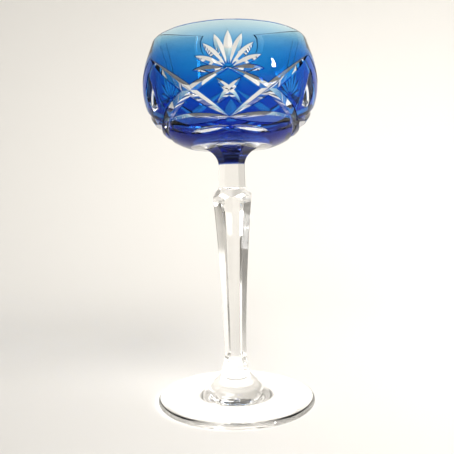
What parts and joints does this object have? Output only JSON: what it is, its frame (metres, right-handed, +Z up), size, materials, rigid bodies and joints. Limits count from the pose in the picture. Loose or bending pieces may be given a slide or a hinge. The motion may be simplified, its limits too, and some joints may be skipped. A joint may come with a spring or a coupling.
{
  "type": "wine glass",
  "caption": "Stemmed wine glass: round blue-cased bowl cut through to clear crystal in stars and crossing arms, on a clear faceted stem and round foot.",
  "frame": {"origin": "centre of the circle the foot stands on, at table level", "axes": "+Z up along the stem, -Y towards the middle of one of the cut fans, +X to its right"},
  "size_m": [0.0892, 0.0891, 0.184],
  "materials": {
    "crystal": "polished",
    "rim_blue": "polished",
    "bowl_blue": "polished",
    "flare_blue": "polished"
  },
  "bodies": {
    "root": {"bowl_crystal": "crystal", "rim_casing": "rim_blue", "lower_band_casing": "bowl_blue", "flare_casing": "flare_blue", "stem": "crystal", "foot": "crystal", "diamond_casing_1": "bowl_blue", "diamond_casing_2": "bowl_blue", "diamond_casing_3": "bowl_blue", "side_panel_casing_1": "bowl_blue", "side_panel_casing_2": "bowl_blue", "side_panel_casing_3": "bowl_blue", "triangle_casing_1": "bowl_blue", "triangle_casing_2": "bowl_blue", "triangle_casing_3": "bowl_blue", "triangle_casing_4": "bowl_blue", "triangle_casing_5": "bowl_blue", "triangle_casing_6": "bowl_blue"}
  },
  "joints": []
}
